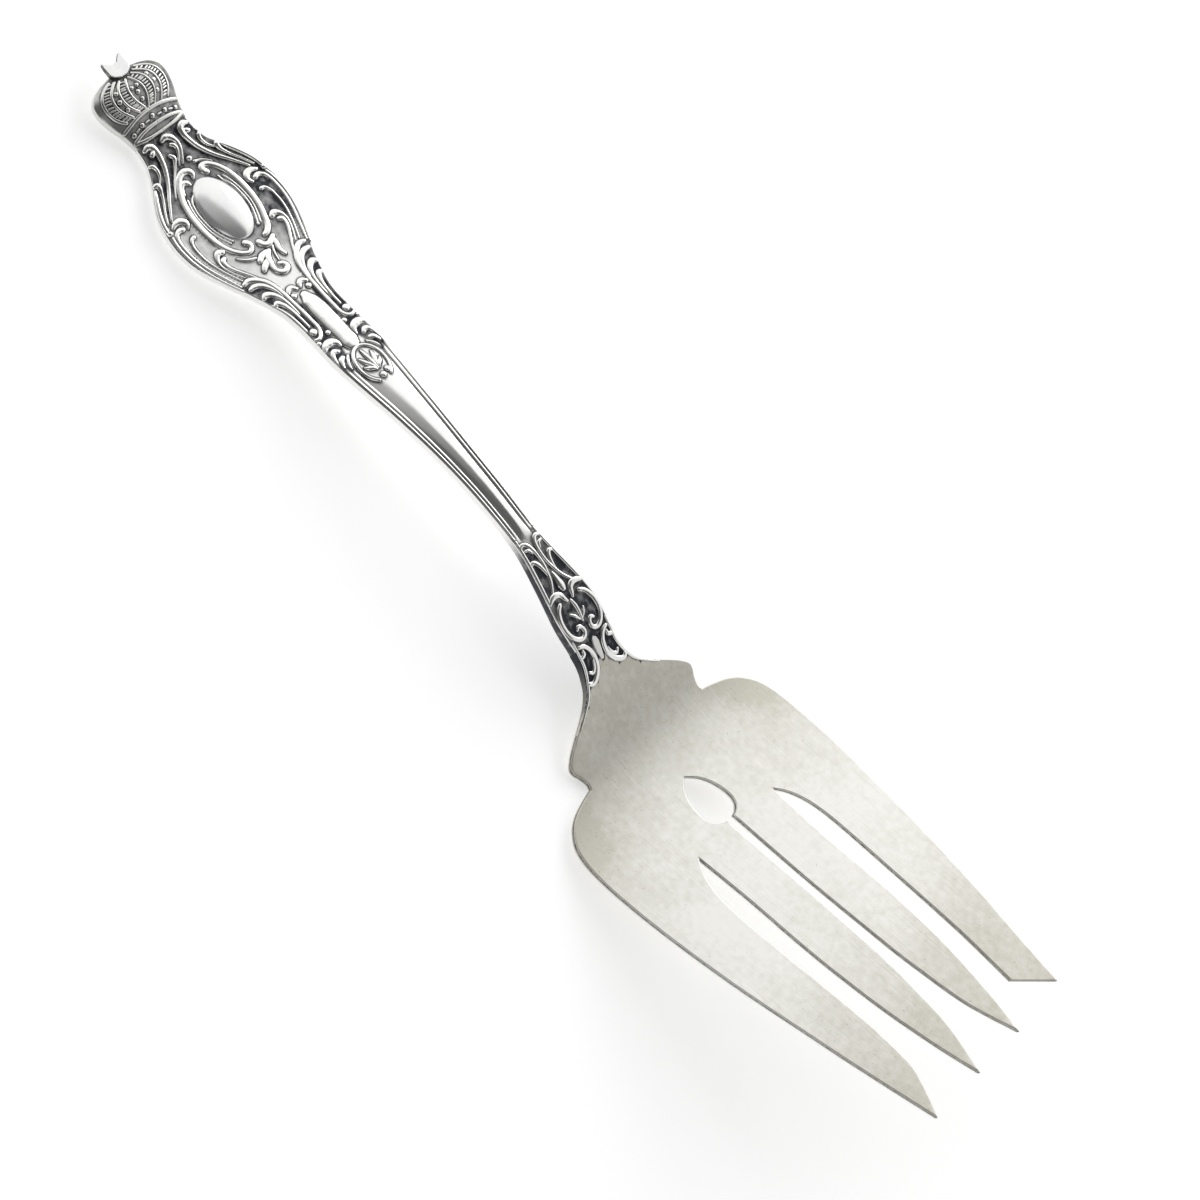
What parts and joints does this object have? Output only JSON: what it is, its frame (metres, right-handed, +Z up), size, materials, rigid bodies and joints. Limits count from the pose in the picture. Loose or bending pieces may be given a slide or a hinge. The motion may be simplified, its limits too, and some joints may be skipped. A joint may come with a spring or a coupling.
{
  "type": "fish fork",
  "caption": "Silver fish fork with a wide pierced blade, short broad tines, a curved stem and a scroll-work handle that ends in a domed crown and cross.",
  "frame": {"origin": "under the middle of the fork's length and width, on the surface that it rests on", "axes": "+X from the crown to the tines, +Z up from the surface, face of the fork up"},
  "size_m": [0.1962, 0.0448, 0.0247],
  "materials": {
    "blade_silver": "satin silver with fine scratches",
    "handle_silver": "polished silver",
    "mount_silver": "polished silver, oxidised in the recesses",
    "bright_silver": "bright polished silver"
  },
  "bodies": {
    "root": {"fork_blade": "blade_silver", "handle_body": "handle_silver", "crown_finial": "mount_silver", "crown_cross": "bright_silver", "cartouche_boss": "bright_silver", "cartouche_frame": "mount_silver", "shoulder_scrolls": "mount_silver", "border_scrolls": "mount_silver", "leaf_scrolls": "mount_silver", "centre_scroll": "mount_silver", "stem_panel": "mount_silver", "stem_medallion": "mount_silver", "neck_scrolls": "mount_silver", "neck_medallion": "mount_silver", "lap_scrolls": "mount_silver"}
  },
  "joints": []
}
